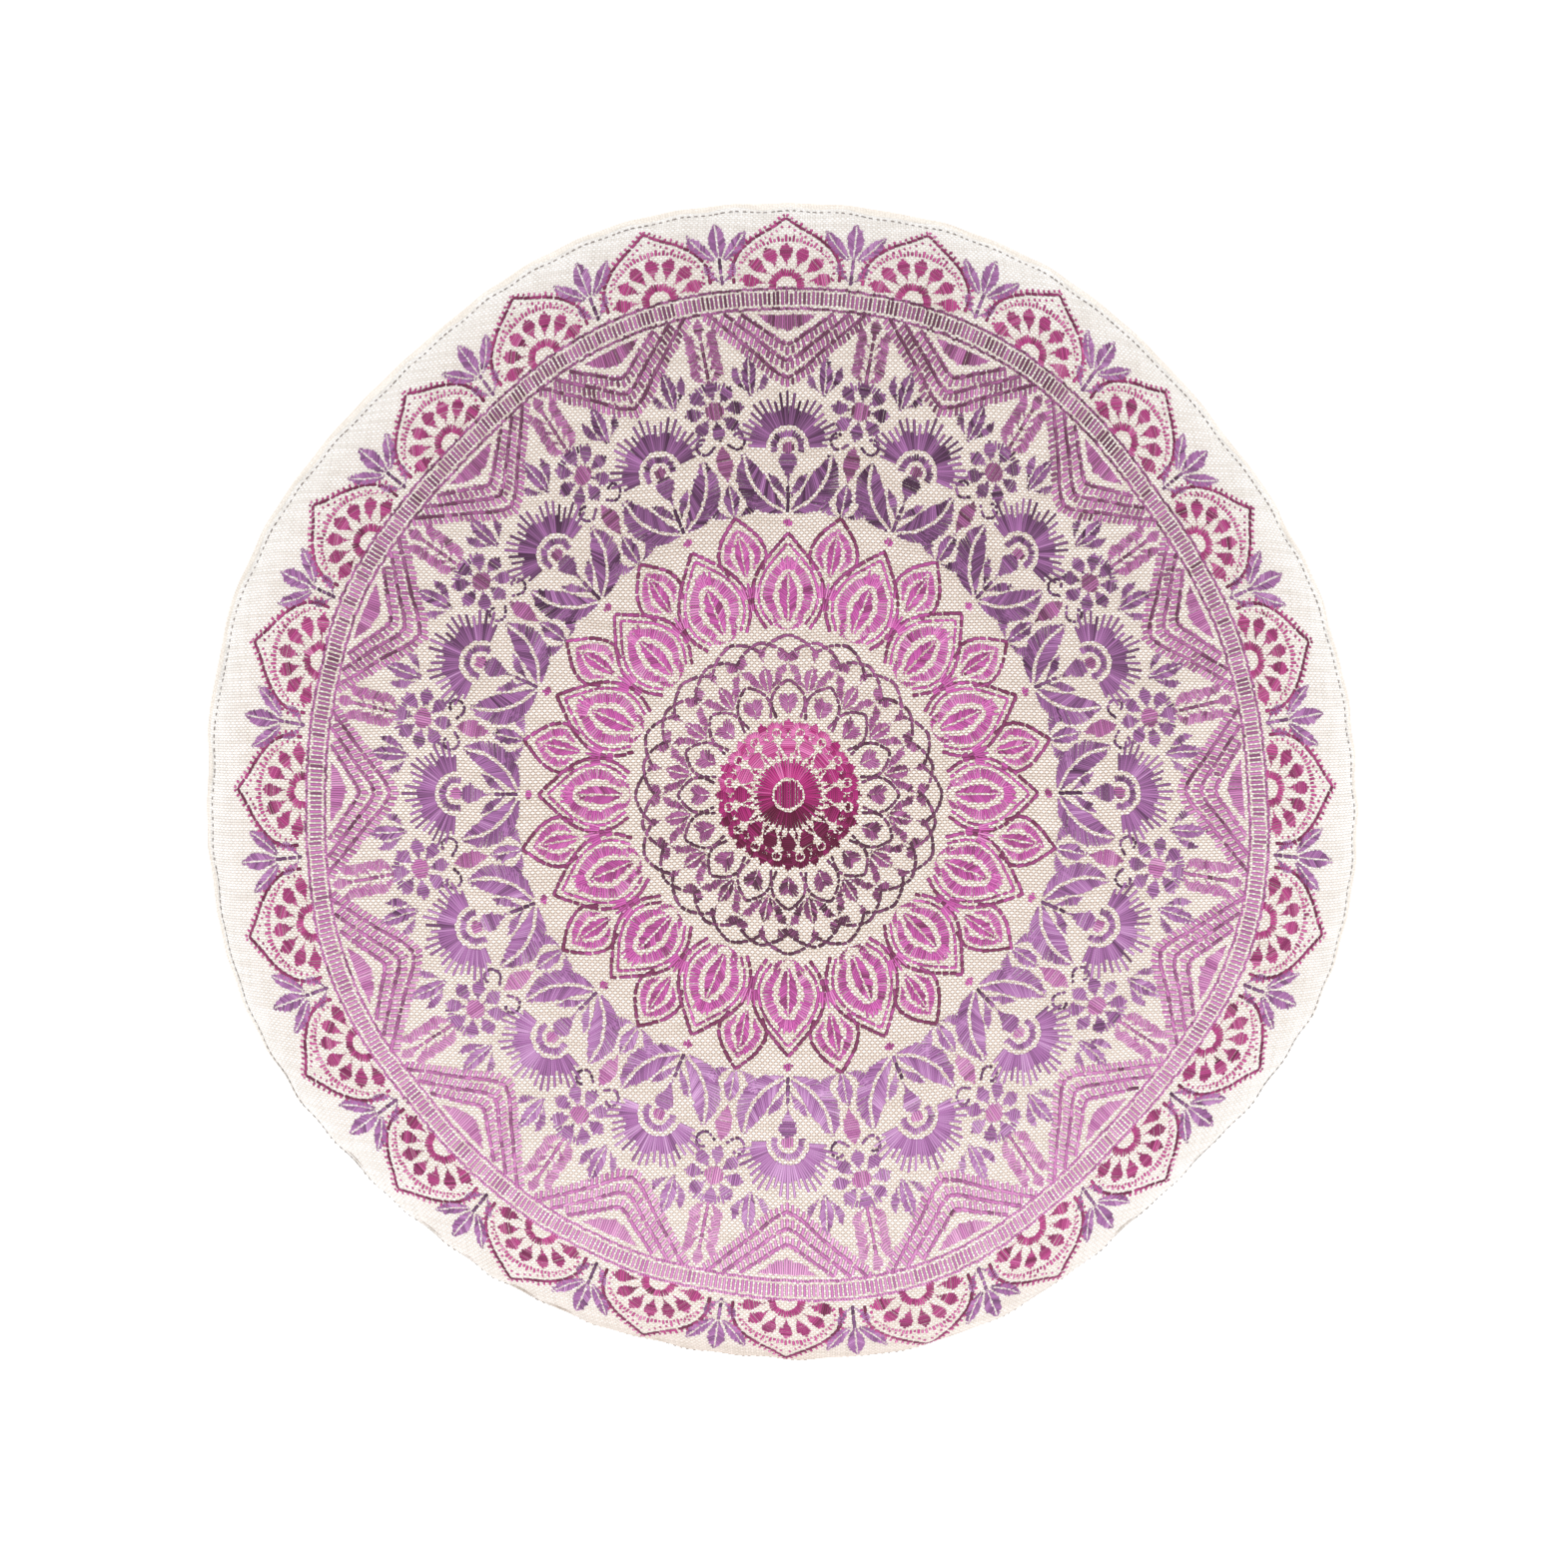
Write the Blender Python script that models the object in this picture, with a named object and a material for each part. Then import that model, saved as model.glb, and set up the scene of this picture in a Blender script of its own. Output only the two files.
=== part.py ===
"""A zafu: a round, firmly filled meditation cushion of cream canvas.

Three sewn pieces: a crowned top panel, a side band and a plain bottom panel. The band is one filled solid, since
the filling presses against it all over, and the panels are sheets of cloth over the filling's crown and underside.
Metres, +Z up. The cushion lies flat on its foot at Z = 0, with the middle of its box over the origin. +Y points to
the side where the top seam rides highest, and -Y to the side where the top panel rolls out over the seam.
"""

import math

import bmesh
import bpy

# The two seams, which draw the cover in
TOP_SEAM_RADIUS = 0.1975
TOP_SEAM_HEIGHT = 0.096
BOTTOM_SEAM_RADIUS = 0.1920
BOTTOM_SEAM_HEIGHT = 0.021

# The crown over the top seam: how high it stands, how flat its middle is and how softly its edge turns down
CROWN_HEIGHT = 0.134
CROWN_FLATNESS = 2.2
CROWN_EDGE = 0.62

# The side band between the seams, and the underside between the bottom seam and the flat foot
BAND_BULGE = 0.0040
BAND_FULLNESS = 0.6
FOOT_RADIUS = 0.150

# The cloth, and the gap between pieces that are sewn together
CLOTH = 0.0015
GAP = 0.0003

# Unevenness: the top seam rides up towards +Y, and the crown swells out over it towards -Y
SEAM_LEAN = 0.0035
ROLL = 0.0070
ROLL_NARROWNESS = 3.0
# The seams' circles have soft corners and flats: waves of (count round the cushion, height, degrees of a crest)
OUTLINE_WAVES = (
    (3, 0.0012, 88.0),
    (4, 0.0017, 88.0),
    (5, 0.0010, 64.0),
    (6, 0.0008, 43.0),
    (8, 0.0011, 21.0),
)

# How finely the solids are faceted
SECTIONS = 64
CROWN_STEPS = 12
BAND_STEPS = 8
UNDERSIDE_STEPS = 6

CANVAS = (0.87, 0.80, 0.70, 1.0)
EMBROIDERED = (0.72, 0.48, 0.66, 1.0)


def outline(azimuth):
    """How far the seams stand outside their mean circles at this azimuth."""
    return sum(
        height * math.cos(count * (azimuth - math.radians(crest)))
        for count, height, crest in OUTLINE_WAVES
    )


def top_seam(azimuth):
    """(radius, height) of the top seam."""
    return TOP_SEAM_RADIUS + outline(azimuth), TOP_SEAM_HEIGHT + SEAM_LEAN * math.sin(azimuth)


def bottom_seam(azimuth):
    """(radius, height) of the bottom seam."""
    return BOTTOM_SEAM_RADIUS + outline(azimuth), BOTTOM_SEAM_HEIGHT


def rolled_out(azimuth, rise):
    """How far the crown swells outwards at a share of its rise above the seam. The most is near a third."""
    towards_front = (0.5 - 0.5 * math.sin(azimuth)) ** ROLL_NARROWNESS
    most = math.sqrt(1 / 3) * 2 / 3
    return ROLL * towards_front * math.sqrt(rise) * (1 - rise) / most


def crown_section(azimuth):
    """The top panel's outer face as (radius, height) points, from the middle out to the seam."""
    radius, height = top_seam(azimuth)
    points = []
    for step in range(CROWN_STEPS + 1):
        share = math.sin(math.pi / 2 * step / CROWN_STEPS)
        rise = max(0.0, 1 - share**CROWN_FLATNESS) ** CROWN_EDGE
        out = radius * share + rolled_out(azimuth, rise)
        points.append((out if step else 0.0, height + (CROWN_HEIGHT - height) * rise))
    return points


def band_section(azimuth):
    """The side band's outer face as (radius, height) points, from the top seam down to the bottom seam."""
    (top_radius, top_height), (low_radius, low_height) = top_seam(azimuth), bottom_seam(azimuth)
    top_edge, low_edge = top_height - GAP, low_height + GAP
    points = []
    for step in range(BAND_STEPS + 1):
        share = step / BAND_STEPS
        bulge = BAND_BULGE * max(0.0, math.sin(math.pi * share)) ** BAND_FULLNESS
        radius = top_radius + (low_radius - top_radius) * share + bulge
        points.append((radius, top_edge + (low_edge - top_edge) * share))
    return points


def underside_section(azimuth):
    """The bottom panel's outer face as (radius, height) points, from the seam in to the flat foot and its middle."""
    radius, height = bottom_seam(azimuth)
    points = []
    for step in range(UNDERSIDE_STEPS + 1):
        turn = math.pi / 2 * step / UNDERSIDE_STEPS
        points.append((FOOT_RADIUS + (radius - FOOT_RADIUS) * math.cos(turn), height * (1 - math.sin(turn))))
    return points + [(FOOT_RADIUS / 2, 0.0), (0.0, 0.0)]


def inset(section, depth):
    """A section moved inwards by a depth. It runs clockwise, down the outside, so inwards is to its right.

    An end on the axis moves along the axis, and an end on a seam moves level, so that the cloth's cut edge is level.
    """
    moved = []
    last = len(section) - 1
    for index, (radius, height) in enumerate(section):
        before, after = section[max(index - 1, 0)], section[min(index + 1, last)]
        outwards, upwards = after[0] - before[0], after[1] - before[1]
        length = math.hypot(outwards, upwards)
        if radius == 0.0:
            moved.append((0.0, height - math.copysign(depth, outwards)))
        elif index in (0, last):
            moved.append((radius - depth * length / abs(upwards), height))
        else:
            moved.append((radius + depth * upwards / length, height - depth * outwards / length))
    return moved


def top_panel_section(azimuth):
    """Down the panel's outer face, across its cut edge and back up its under face."""
    face = crown_section(azimuth)
    return face + inset(face, CLOTH)[::-1]


def bottom_panel_section(azimuth):
    """Across the panel's cut edge from inside, then down its outer face to the middle of the foot."""
    face = underside_section(azimuth)
    return inset(face, CLOTH)[::-1] + face


def side_band_section(azimuth):
    """Under the top panel, out to the top seam, down the band and in over the bottom panel."""
    crown = inset(crown_section(azimuth), CLOTH + GAP)
    band = band_section(azimuth)
    underside = inset(underside_section(azimuth), CLOTH + GAP)
    top_ledge = (crown[-1][0], band[0][1])
    low_ledge = (underside[0][0], band[-1][1])
    return crown[:-1] + [top_ledge] + band + [low_ledge] + underside[1:]


def loft(name, section_at, colour, collection):
    """A closed solid through unlike sections round the Z axis, each of which starts and ends on the axis."""
    shape = bmesh.new()
    sections = [section_at(2 * math.pi * turn / SECTIONS) for turn in range(SECTIONS)]
    count = len(sections[0])
    first_pole = shape.verts.new((0.0, 0.0, sections[0][0][1]))
    last_pole = shape.verts.new((0.0, 0.0, sections[0][-1][1]))
    ribs = []
    for turn, section in enumerate(sections):
        azimuth = 2 * math.pi * turn / SECTIONS
        ribs.append(
            [
                shape.verts.new((radius * math.cos(azimuth), radius * math.sin(azimuth), height))
                for radius, height in section[1 : count - 1]
            ]
        )
    for rib, next_rib in zip(ribs, ribs[1:] + ribs[:1]):
        shape.faces.new((first_pole, rib[0], next_rib[0]))
        for index in range(len(rib) - 1):
            shape.faces.new((rib[index], rib[index + 1], next_rib[index + 1], next_rib[index]))
        shape.faces.new((rib[-1], last_pole, next_rib[-1]))
    bmesh.ops.recalc_face_normals(shape, faces=shape.faces)

    mesh = bpy.data.meshes.new(name)
    shape.to_mesh(mesh)
    shape.free()
    mesh.shade_smooth()
    mesh.set_sharp_from_angle(angle=math.radians(50))
    mesh.materials.append(cloth_material(name + "_cloth", colour))
    solid = bpy.data.objects.new(name, mesh)
    collection.objects.link(solid)
    return solid


def cloth_material(name, colour):
    material = bpy.data.materials.new(name)
    material.use_nodes = True
    material.diffuse_color = colour
    shader = material.node_tree.nodes["Principled BSDF"]
    shader.inputs["Base Color"].default_value = colour
    shader.inputs["Roughness"].default_value = 0.9
    shader.inputs["Metallic"].default_value = 0.0
    return material


def centre_over_origin(solids):
    """Shifts the solids level, together, until the middle of their box is over the origin."""
    for axis in (0, 1):
        places = [vertex.co[axis] for solid in solids for vertex in solid.data.vertices]
        middle = (min(places) + max(places)) / 2
        for solid in solids:
            for vertex in solid.data.vertices:
                vertex.co[axis] -= middle


def main():
    for leftover in list(bpy.data.objects):
        bpy.data.objects.remove(leftover)
    collection = bpy.data.collections.new("zafu_cushion")
    bpy.context.scene.collection.children.link(collection)
    solids = [
        loft("top_panel", top_panel_section, EMBROIDERED, collection),
        loft("side_band", side_band_section, CANVAS, collection),
        loft("bottom_panel", bottom_panel_section, CANVAS, collection),
    ]
    centre_over_origin(solids)


main()
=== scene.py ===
"""The looks of a zafu: a round, firmly filled meditation cushion of cream canvas, embroidered on top.

The cover is the frame's own three pieces, each made again with a fine surface: the top panel, the side band
with its filling, and the bottom panel. A cloth simulation swells the sewn cover. The embroidery is real
stitches on the top panel, in a generic mandala of sixteen rays.
Metres, +Z up. The embroidery is drawn in millimetres on the flat cloth, where a motif's first coordinate is
its distance outwards from the mandala's middle, and its second is sideways, counter-clockwise.
"""

import math

import bpy
import numpy as np
from mathutils import Matrix, Vector


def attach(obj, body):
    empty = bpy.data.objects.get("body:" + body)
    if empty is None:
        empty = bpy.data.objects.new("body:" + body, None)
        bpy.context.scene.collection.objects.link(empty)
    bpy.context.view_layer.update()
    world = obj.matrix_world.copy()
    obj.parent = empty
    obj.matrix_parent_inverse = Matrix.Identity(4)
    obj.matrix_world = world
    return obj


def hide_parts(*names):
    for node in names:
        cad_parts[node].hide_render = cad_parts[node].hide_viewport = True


MM = 0.001

# The cover's even shape, as the solids have it: its two seams, its crown, its side and its underside
TOP_SEAM_RADIUS = 0.1975
TOP_SEAM_HEIGHT = 0.096
BOTTOM_SEAM_RADIUS = 0.1920
BOTTOM_SEAM_HEIGHT = 0.021
CROWN_HEIGHT = 0.134
CROWN_FLATNESS = 2.2
CROWN_EDGE = 0.62
BAND_BULGE = 0.0040
BAND_FULLNESS = 0.6
FOOT_RADIUS = 0.150
CLOTH = 0.0015
GAP = 0.0003
SEAM_LEAN = 0.0035
ROLL = 0.0070
ROLL_NARROWNESS = 3.0
# The seams' circles have soft corners and flats: waves of (count round, height, degrees of a crest)
OUTLINE_WAVES = (
    (3, 0.0012, 88.0),
    (4, 0.0017, 88.0),
    (5, 0.0010, 64.0),
    (6, 0.0008, 43.0),
    (8, 0.0011, 21.0),
)

# The fine surface: how many meridians, rings on each part of the cover, and what angle stays a sharp edge
MERIDIANS = 384
CROWN_RINGS = 84
BAND_RINGS = 30
UNDERSIDE_RINGS = 30
SHARP_ANGLE = math.radians(50)

# How deep the seams draw the cloth in and pucker it, how far each reaches, and how many puckers go round
SEAM_DRAW = 0.0011
SEAM_DRAW_REACH = 0.0022
PUCKER = 0.00045
PUCKER_REACH = 0.012
PUCKER_WAVES = 9
PUCKERS_ROUND = (24, 78)
# How high the filling's lumps are, how many waves make them up, how long those are, and where they fade
LUMP = 0.00035
LUMP_WAVES = 10
LUMP_LENGTHS = (0.035, 0.090)
LUMP_FADE = 0.02

# The cloth simulation of the whole cover: its cage, which starts a little smaller, and its slack cloth
CAGE_MERIDIANS = 224
CAGE_RINGS = {"crown": 44, "band": 14, "underside": 18}
CAGE_INSET = 0.0012
CAGE_INSET_REACH = 0.006
CLOTH_SETTINGS = dict(
    quality=6,
    mass=0.25,
    tension_stiffness=25,
    compression_stiffness=25,
    shear_stiffness=8,
    bending_stiffness=2.0,
    shrink_min=-0.003,
    use_pressure=True,
    uniform_pressure_force=4.0,
)
SETTLED_FRAME = 20
# The most that the cover swells, and how many times that is averaged round the cushion
MOST_SWELL = 0.0022
SWELL_SMOOTHING = 5

# The canvas: its threads' pitch and waver, the underside's turn, and how the panel is pulled out of true
THREAD_PITCH = 0.00093
WAVER = 0.00035
UNDERSIDE_TURN = 0.6
PANEL_STRETCH = np.array([0.976, 1.014])
PANEL_OFFSET = np.array([0.0010, 0.0005])
# The panel's canvas, and a darker copy of it for the side band and the bottom panel: painted shade that keeps
# their brightly lit sides from washing out
# Each one's last colour is painted light, laid on near the seams for the bright rim
CANVAS = dict(cream="#fffaf7", dull="#ebd8cb", shade="#8c725f", painted_rim_light="#fdfefe")
SHADED_CANVAS = dict(cream="#ece2d6", dull="#d6c5b7", shade="#80695a", painted_rim_light="#f8f4ee")
# How far from a seam the canvas is lightened by painted light for the bright rim, and how much of the weave's
# shading that hides
PAINTED_RIM_LIGHT_REACH = 0.028
MOST_PAINTED_RIM_LIGHT = 0.75
# How far from the top seam, and how narrowly towards -Y, the panel is darkened by warm painted shade where it
# rolls over the seam
FRONT_SHADE_REACH = 0.015
FRONT_SHADE_NARROWNESS = 16

# The photograph's frame: what its middle points at, from how far and at what lean to the left and the top
IMAGE_WIDTH = 1566
METRES_PER_PIXEL = 0.0003437
VIEW_TARGET = (-0.0008, 0.0011, TOP_SEAM_HEIGHT)
VIEW_DISTANCE = 1.6
VIEW_LEAN = (math.radians(-1.5), math.radians(4.5))

# The light: the white room's and the floor's brightness, the key, and strips level with the rim
WORLD_LIGHT = 0.93
FLOOR_GLOW = 0.30
KEY_PLACE = (0.0, -1.4, 1.5)
KEY_SIZE = (1.1, 1.1)
KEY_POWER = 18
# Each strip's degrees round the cushion, and its watts
STRIPS = {-30: 0.03, 0: 0.13, 30: 0.15, 60: 0.14, 90: 0.13, 120: 0.14, 150: 0.13, 180: 0.08, 210: 0.03}
STRIP_DISTANCE = 0.50
STRIP_HEIGHT = 0.110
STRIP_SIZE = (0.26, 0.08)

dice = np.random.default_rng(16)


# ---- the cover's shape


def compass(azimuth):
    """The level unit direction at an azimuth."""
    return np.stack([np.cos(azimuth), np.sin(azimuth)], axis=-1)


def even_turns(count):
    """Azimuths evenly round the cushion."""
    return np.arange(count) * 2 * math.pi / count


def outline(azimuth):
    """How far the seams stand outside their mean circles."""
    return sum(
        height * np.cos(count * (azimuth - math.radians(crest)))
        for count, height, crest in OUTLINE_WAVES
    )


def top_seam(azimuth):
    return TOP_SEAM_RADIUS + outline(azimuth), TOP_SEAM_HEIGHT + SEAM_LEAN * np.sin(azimuth)


def bottom_seam(azimuth):
    return BOTTOM_SEAM_RADIUS + outline(azimuth), BOTTOM_SEAM_HEIGHT + 0 * azimuth


def crown(share, azimuth):
    """(radius, height) of the top panel, at a share of the seam's radius out from the middle."""
    radius, height = top_seam(azimuth)
    rise = np.clip(1 - share**CROWN_FLATNESS, 0, 1) ** CROWN_EDGE
    towards_front = (0.5 - 0.5 * np.sin(azimuth)) ** ROLL_NARROWNESS
    most = math.sqrt(1 / 3) * 2 / 3
    rolled_out = ROLL * towards_front * np.sqrt(rise) * (1 - rise) / most
    return radius * share + rolled_out, height + (CROWN_HEIGHT - height) * rise


def band(share, azimuth):
    """(radius, height) of the side band, at a share of its way down from the top seam."""
    (top_radius, top_height), (low_radius, low_height) = top_seam(azimuth), bottom_seam(azimuth)
    top_edge, low_edge = top_height - GAP, low_height + GAP
    bulge = BAND_BULGE * np.clip(np.sin(math.pi * share), 0, 1) ** BAND_FULLNESS
    radius = top_radius + (low_radius - top_radius) * share + bulge
    return radius, top_edge + (low_edge - top_edge) * share


def underside(share, azimuth):
    """(radius, height) of the bottom panel, half of whose way rounds down to the foot and half is flat."""
    radius, height = bottom_seam(azimuth)
    turn = math.pi / 2 * np.clip(share * 2, 0, 1)
    rounded = FOOT_RADIUS + (radius - FOOT_RADIUS) * np.cos(turn)
    across_foot = FOOT_RADIUS * (2 - 2 * np.clip(share, 0.5, 1))
    return np.where(share < 0.5, rounded, across_foot), height * (1 - np.sin(turn))


PARTS = {"crown": crown, "band": band, "underside": underside}


def even_place(part, share, azimuth):
    """Points of the even cover, about the crown's middle."""
    radius, height = PARTS[part](share, azimuth)
    return np.stack([radius * np.cos(azimuth), radius * np.sin(azimuth), height], axis=-1)


def ring_shares(part, rings):
    """Shares for rings down a part. The crown's crowd towards its steep edge."""
    even = np.linspace(0, 1, rings + 1)
    return np.sin(math.pi / 2 * even) if part == "crown" else even


def meridian_length():
    """The top panel's flat radius at each of many shares, measured along its mean section."""
    shares = np.sin(np.linspace(0, math.pi / 2, 600))
    rise = (1 - shares**CROWN_FLATNESS) ** CROWN_EDGE
    heights = TOP_SEAM_HEIGHT + (CROWN_HEIGHT - TOP_SEAM_HEIGHT) * rise
    steps = np.hypot(np.diff(TOP_SEAM_RADIUS * shares), np.diff(heights))
    return shares, np.concatenate([[0], np.cumsum(steps)])


CROWN_SHARES, CROWN_FLAT = meridian_length()
PANEL_RADIUS = CROWN_FLAT[-1]
BAND_HEIGHT = TOP_SEAM_HEIGHT - BOTTOM_SEAM_HEIGHT
# The bottom panel's cloth from its seam to the foot's edge, and the scale of its distance from the seam
UNDERSIDE_SCALE = 0.060


def from_seam(part, share):
    """Roughly how far along the cloth the nearest seam is."""
    if part == "crown":
        return PANEL_RADIUS - np.interp(share, CROWN_SHARES, CROWN_FLAT)
    if part == "band":
        return BAND_HEIGHT * np.minimum(share, 1 - share)
    return UNDERSIDE_SCALE * share


def outwards(part, share, azimuth):
    """The direction that the even cover faces. At a seam and on the band it is level."""
    turned = np.stack([np.cos(azimuth), np.sin(azimuth), 0 * azimuth], axis=-1)
    if part == "band":
        return turned
    step = 0.001
    before, after = np.clip(share - step, 0, 1), np.clip(share + step, 0, 1)
    (inner_radius, inner_height), (outer_radius, outer_height) = (
        PARTS[part](before, azimuth),
        PARTS[part](after, azimuth),
    )
    out, up = inner_height - outer_height, outer_radius - inner_radius
    length = np.maximum(np.hypot(out, up), 1e-12)
    at_seam = share > 1 - 1e-6 if part == "crown" else share < 1e-6
    out, up = np.where(at_seam, 1.0, out / length), np.where(at_seam, 0.0, up / length)
    facing = turned * out[..., None]
    facing[..., 2] = up
    return facing


def puckers(azimuth):
    """Irregular ripples round the cushion, from about -1 to 1."""
    draw = np.random.default_rng(3)
    counts = draw.integers(*PUCKERS_ROUND, PUCKER_WAVES)
    phases = draw.uniform(0, 2 * math.pi, PUCKER_WAVES)
    total = sum(np.cos(count * azimuth + phase) for count, phase in zip(counts, phases))
    return total / math.sqrt(PUCKER_WAVES)


def lumps(part, share, azimuth):
    """Soft unevenness of the filling under the cloth."""
    place = even_place(part, share, azimuth)
    draw = np.random.default_rng(5)
    total = 0
    for _ in range(LUMP_WAVES):
        direction = draw.normal(size=3)
        direction *= 2 * math.pi / draw.uniform(*LUMP_LENGTHS) / np.linalg.norm(direction)
        total = total + np.cos(place @ direction + draw.uniform(0, 2 * math.pi))
    return total / math.sqrt(LUMP_WAVES)


def relief(part, share, azimuth):
    """How far the sewn and filled cover stands out of its even shape."""
    away = from_seam(part, share)
    drawn_in = -SEAM_DRAW * np.exp(-((away / SEAM_DRAW_REACH) ** 2))
    gathered = PUCKER * np.exp(-away / PUCKER_REACH) * puckers(azimuth)
    lumpy = LUMP * lumps(part, share, azimuth) * (1 - np.exp(-away / LUMP_FADE))
    bare = drawn_in + gathered + lumpy + swell(part, share, azimuth)
    if part == "underside":
        return bare * np.clip(1 - share * 2, 0, 1)
    return bare


def surface(part, share, azimuth, out=0.0):
    """Points of the finished cover, moved out of it by a distance."""
    away = relief(part, share, azimuth) + out
    return even_place(part, share, azimuth) + outwards(part, share, azimuth) * away[..., None] + shift


# ---- the cloth simulation


swollen = {}


def weights(fraction):
    """The four weights of a smooth curve through even values, at a fraction between the middle two."""
    f = fraction
    return (
        0.5 * (-(f**3) + 2 * f**2 - f),
        0.5 * (3 * f**3 - 5 * f**2 + 2),
        0.5 * (-3 * f**3 + 4 * f**2 + f),
        0.5 * (f**3 - f**2),
    )


def swell(part, share, azimuth):
    """How far the simulation moved the cover out, read smoothly between the cage's points."""
    if part not in swollen:
        return 0.0
    grid = swollen[part]
    rings, meridians = grid.shape[0] - 1, grid.shape[1]
    even = np.arcsin(np.clip(share, 0, 1)) * 2 / math.pi if part == "crown" else share
    row = even * rings
    column = (azimuth / (2 * math.pi) % 1) * meridians
    first_row = np.clip(np.floor(row).astype(int), 0, rings - 1)
    first_column = np.floor(column).astype(int)
    total = 0
    for row_step, row_weight in zip((-1, 0, 1, 2), weights(row - first_row)):
        rows = np.clip(first_row + row_step, 0, rings)
        for column_step, column_weight in zip((-1, 0, 1, 2), weights(column - first_column)):
            columns = (first_column + column_step) % meridians
            total = total + grid[rows, columns] * row_weight * column_weight
    return total


def cage_rings():
    """(part, share) for each ring of the cage, from the crown's middle to the foot's, each seam once."""
    rings = []
    for part, count in CAGE_RINGS.items():
        shares = ring_shares(part, count)
        rings += [(part, share) for share in (shares if part == "crown" else shares[1:])]
    return rings


def simulate():
    """Fills the sewn cover with pressure while its seams and foot hold, and keeps how far it moves out."""
    rings = cage_rings()
    azimuth = even_turns(CAGE_MERIDIANS)
    start, goal, facing, held = [], [], [], []
    for part, share in rings:
        shares = np.full_like(azimuth, share)
        away = from_seam(part, shares)
        inset = -CAGE_INSET * (1 - np.exp(-away / CAGE_INSET_REACH))
        on_foot = part == "underside" and share >= 0.5
        at_seam = away[0] < 1e-6
        goal.append(surface(part, shares, azimuth))
        start.append(goal[-1] if on_foot or at_seam else surface(part, shares, azimuth, inset))
        facing.append(outwards(part, shares, azimuth))
        held.append(on_foot or at_seam)
    cage, grid = skin("cover_cage", np.array(start[1:-1]), start[0][0], start[-1][0])
    settle(cage, [int(i) for ring, keep in zip(grid, held[1:-1]) if keep for i in ring])
    reached = coordinates(cage)[grid]
    bpy.data.objects.remove(cage)
    moved = ((reached - np.array(goal[1:-1])) * np.array(facing[1:-1])).sum(axis=-1)
    moved = MOST_SWELL * np.tanh(moved / MOST_SWELL)
    for _ in range(SWELL_SMOOTHING):
        moved = (np.roll(moved, 1, axis=1) + 2 * moved + np.roll(moved, -1, axis=1)) / 4
    moved = np.concatenate([moved[:1] * 0 + moved[0].mean(), moved, moved[-1:] * 0])
    start_ring = 0
    for part, count in CAGE_RINGS.items():
        swollen[part] = moved[start_ring : start_ring + count + 1]
        start_ring += count


def settle(cage, pinned):
    """Runs the cloth on the cage. The pinned points hold."""
    group = cage.vertex_groups.new(name="sewn")
    group.add(pinned, 1.0, "REPLACE")
    cloth = cage.modifiers.new("filling", "CLOTH")
    for key, value in CLOTH_SETTINGS.items():
        setattr(cloth.settings, key, value)
    cloth.settings.vertex_group_mass = group.name
    cloth.settings.effector_weights.gravity = 0
    cloth.point_cache.frame_start = 1
    cloth.point_cache.frame_end = SETTLED_FRAME
    for frame_number in range(1, SETTLED_FRAME + 1):
        bpy.context.scene.frame_set(frame_number)


def coordinates(piece):
    """The points of a piece as its modifiers leave it."""
    mesh = piece.evaluated_get(bpy.context.evaluated_depsgraph_get()).data
    points = np.empty(len(mesh.vertices) * 3)
    mesh.vertices.foreach_get("co", points)
    return points.reshape(-1, 3)


# ---- meshes


def skin(name, rings, first_pole, last_pole):
    """A closed object through rings of points and a pole at either end, and the rings' point numbers."""
    count, around = rings.shape[:2]
    grid = np.arange(count * around).reshape(count, around)
    ahead = np.roll(grid, -1, axis=1)
    sides = np.stack([grid[:-1], grid[1:], ahead[1:], ahead[:-1]], axis=-1).reshape(-1, 4)
    first, last = count * around, count * around + 1
    faces = sides.tolist()
    faces += [(first, low, high) for low, high in zip(grid[0].tolist(), ahead[0].tolist())]
    faces += [(last, high, low) for low, high in zip(grid[-1].tolist(), ahead[-1].tolist())]
    points = np.concatenate([rings.reshape(-1, 3), [first_pole, last_pole]])
    return new_object(name, points, faces), grid


def new_object(name, points, faces):
    mesh = bpy.data.meshes.new(name)
    mesh.from_pydata(points.tolist(), [], faces)
    mesh.shade_smooth()
    return add_object(name, mesh)


def add_object(name, data):
    thing = bpy.data.objects.new(name, data)
    bpy.context.scene.collection.objects.link(thing)
    return thing


def set_values(mesh, name, kind, values, domain="POINT"):
    """Writes a named value on each point or face corner of a mesh."""
    key = "value" if kind == "FLOAT" else "vector"
    mesh.attributes.new(name, kind, domain).data.foreach_set(key, np.ravel(values))


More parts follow.
